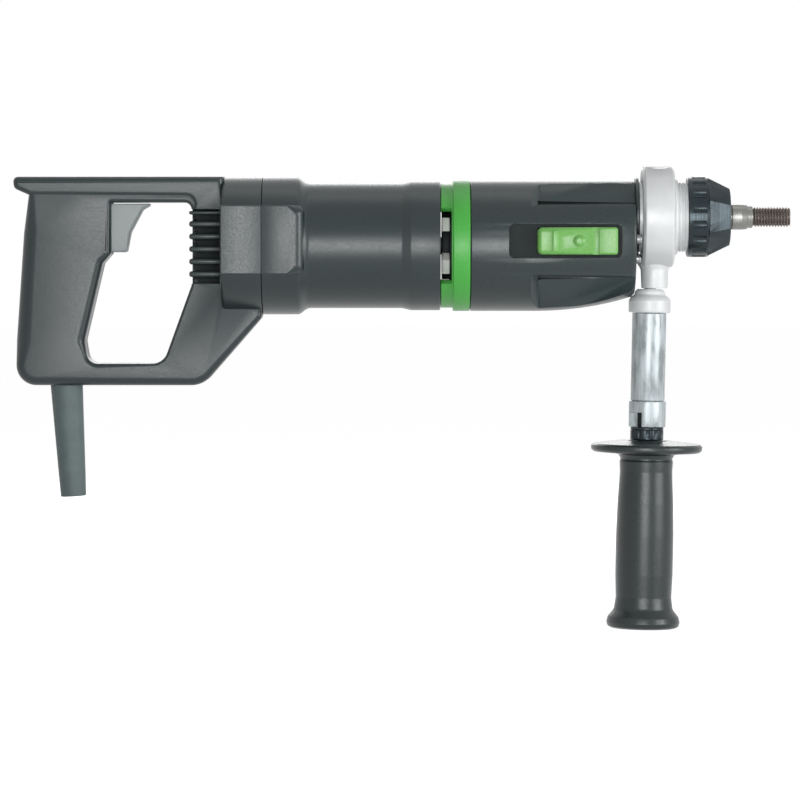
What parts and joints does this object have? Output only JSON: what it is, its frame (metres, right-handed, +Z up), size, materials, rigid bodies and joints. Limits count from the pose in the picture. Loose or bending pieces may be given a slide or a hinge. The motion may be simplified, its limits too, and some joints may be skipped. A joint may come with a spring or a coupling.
{
  "type": "core drill",
  "caption": "Hand-held core drill with a D-shaped rear grip, green intermediate ring, side speed slide, threaded spindle and a swivelling side handle.",
  "frame": {"origin": "centre of the end face of the threaded spindle", "axes": "+X along the spindle, out of the machine; +Z up, away from the side handle; +Y to the operator's left, away from the speed slide"},
  "size_m": [0.5412, 0.0968, 0.3229],
  "materials": {
    "shell_plastic": "dark grey glass-filled nylon, fine grain",
    "gearcase_alloy": "die-cast alloy with a dark grey satin coating",
    "green_plastic": "bright green, satin",
    "lime_plastic": "lime green, glossy",
    "grey_plastic": "light grey, smooth",
    "black_plastic": "black moulding",
    "pale_plastic": "off-white moulding",
    "sleeve_rubber": "dark grey soft rubber",
    "cast_alloy": "light silver, fine blasted",
    "tube_alloy": "drawn tube, satin",
    "steel": "machined",
    "screw_steel": "zinc plated",
    "dark_steel": "black oxide, polished edges",
    "copper": "enamelled wire and copper bars",
    "brass": "drawn and cast brass",
    "carbon": "pressed carbon"
  },
  "bodies": {
    "machine": {"handle_shell_left": "shell_plastic", "handle_shell_right": "shell_plastic", "motor_housing": "shell_plastic", "gear_housing": "gearcase_alloy", "bearing_flange": "green_plastic", "switch_module": "black_plastic", "cord_clamp": "black_plastic", "cord_sleeve": "sleeve_rubber", "shaft_seal": "sleeve_rubber", "neck": "cast_alloy", "bearing_plate": "cast_alloy", "stator_core": "steel", "motor_front_bearing": "steel", "motor_rear_bearing": "steel", "shaft_front_bearing": "steel", "shaft_rear_bearing": "steel", "spindle_front_bearing": "steel", "spindle_rear_bearing": "steel", "handle_screw_1": "screw_steel", "handle_screw_2": "screw_steel", "handle_screw_3": "screw_steel", "handle_screw_4": "screw_steel", "front_screw_1": "screw_steel", "front_screw_2": "screw_steel", "front_screw_3": "screw_steel", "front_screw_4": "screw_steel", "clamp_screw_1": "screw_steel", "clamp_screw_2": "screw_steel", "ratchet_disc_fixed": "dark_steel", "field_coil_upper": "copper", "field_coil_lower": "copper", "brush_holder_left": "brass", "brush_holder_right": "brass", "carbon_brush_left": "carbon", "carbon_brush_right": "carbon"},
    "trigger": {"trigger": "grey_plastic"},
    "selector": {"selector_slide": "lime_plastic", "shift_fork": "brass"},
    "spindle": {"spindle": "steel", "spindle_gear_low": "steel", "spindle_gear_high": "steel", "ratchet_disc_spindle": "dark_steel"},
    "intermediate": {"intermediate_shaft": "steel", "driven_gear": "steel"},
    "shift_gear": {"shift_gear": "steel"},
    "armature": {"armature_shaft": "steel", "armature_core": "steel", "commutator": "copper", "cooling_fan": "pale_plastic", "motor_pinion": "steel"},
    "percussion_ring": {"percussion_ring": "dark_steel"},
    "collar": {"collar_ring": "cast_alloy"},
    "side_grip": {"collar_nut": "cast_alloy", "handle_tube": "tube_alloy", "slotted_sleeve": "tube_alloy", "handle_ferrule": "black_plastic", "handle_grip": "shell_plastic", "clamp_rod": "steel"}
  },
  "joints": [
    {"name": "trigger_pull", "type": "slide", "parent": "machine", "child": "trigger", "axis": [-1, 0, 0], "range_m": [0, 0.0065], "stiffness_N_per_m": 1500, "springref_m": -0.002},
    {"name": "speed_select", "type": "slide", "parent": "machine", "child": "selector", "axis": [-1, 0, 0], "range_m": [0, 0.019]},
    {"name": "spindle_spin", "type": "hinge", "parent": "machine", "child": "spindle", "pos_m": [0, 0, 0], "axis": [1, 0, 0], "continuous": true},
    {"name": "intermediate_spin", "type": "hinge", "parent": "machine", "child": "intermediate", "pos_m": [-0.17, -0.02013, -0.01005], "axis": [1, 0, 0], "continuous": true},
    {"name": "gear_shift", "type": "slide", "parent": "intermediate", "child": "shift_gear", "axis": [-1, 0, 0], "range_m": [0, 0.019]},
    {"name": "armature_spin", "type": "hinge", "parent": "machine", "child": "armature", "pos_m": [-0.3, 0, -0.0201], "axis": [1, 0, 0], "continuous": true},
    {"name": "percussion_select", "type": "hinge", "parent": "machine", "child": "percussion_ring", "pos_m": [-0.06, 0, 0], "axis": [1, 0, 0], "range_deg": [0, 60]},
    {"name": "collar_swivel", "type": "hinge", "parent": "machine", "child": "collar", "pos_m": [-0.0924, 0, 0], "axis": [1, 0, 0], "continuous": true},
    {"name": "grip_turn", "type": "hinge", "parent": "collar", "child": "side_grip", "pos_m": [-0.0976, 0, -0.05], "axis": [0.0192, 0, 0.9998], "continuous": true}
  ],
  "couplings": [
    {"joint": "intermediate_spin", "follows": "spindle_spin", "ratio": -2},
    {"joint": "armature_spin", "follows": "spindle_spin", "ratio": 7},
    {"joint": "gear_shift", "follows": "speed_select", "ratio": 1}
  ]
}
